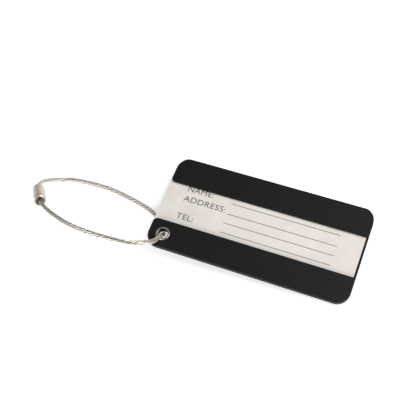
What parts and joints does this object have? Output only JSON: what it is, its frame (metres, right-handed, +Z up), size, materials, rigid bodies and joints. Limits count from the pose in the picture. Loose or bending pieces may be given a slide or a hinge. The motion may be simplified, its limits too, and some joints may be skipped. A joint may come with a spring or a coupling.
{
  "type": "luggage tag",
  "caption": "Luggage tag: a folded black aluminium holder with an open window, a paper name card that slides in it, and a steel cable loop with a screw connector.",
  "frame": {"origin": "on the table, below the middle of the holder's front face", "axes": "+X along the tag, away from the eyelet; +Y across it; +Z up"},
  "size_m": [0.1333, 0.0489, 0.0258],
  "materials": {
    "black_aluminium": "satin black anodised",
    "nickel": "polished nickel plate",
    "card": "uncoated",
    "wire_rope": "stranded stainless wire",
    "connector": "satin nickel plate"
  },
  "bodies": {
    "holder": {"folded_holder": "black_aluminium", "eyelet": "nickel"},
    "card": {"name_card": "card"},
    "loop": {"wire_rope": "wire_rope", "crimp_ferrule": "connector", "stop_bead": "connector"},
    "sleeve_carrier": {"retaining_ring": "connector"},
    "sleeve": {"screw_sleeve": "connector"}
  },
  "joints": [
    {"name": "card_slide", "type": "slide", "parent": "holder", "child": "card", "axis": [0.9969, 0, -0.0785], "range_m": [0, 0.078]},
    {"name": "loop_swing", "type": "hinge", "parent": "holder", "child": "loop", "pos_m": [-0.03417, -0.0142, 0.00682], "axis": [0.0785, 0, 0.9969], "range_deg": [-90, 90]},
    {"name": "sleeve_travel", "type": "slide", "parent": "loop", "child": "sleeve_carrier", "axis": [0.6158, -0.6375, 0.463], "range_m": [0, 0.0023]},
    {"name": "sleeve_spin", "type": "hinge", "parent": "sleeve_carrier", "child": "sleeve", "pos_m": [-0.08936, -0.01185, 0.01374], "axis": [0.6158, -0.6375, 0.463], "range_deg": [0, 1656]}
  ],
  "couplings": [
    {"joint": "sleeve_spin", "follows": "sleeve_travel", "rad_per_m": 12566}
  ]
}
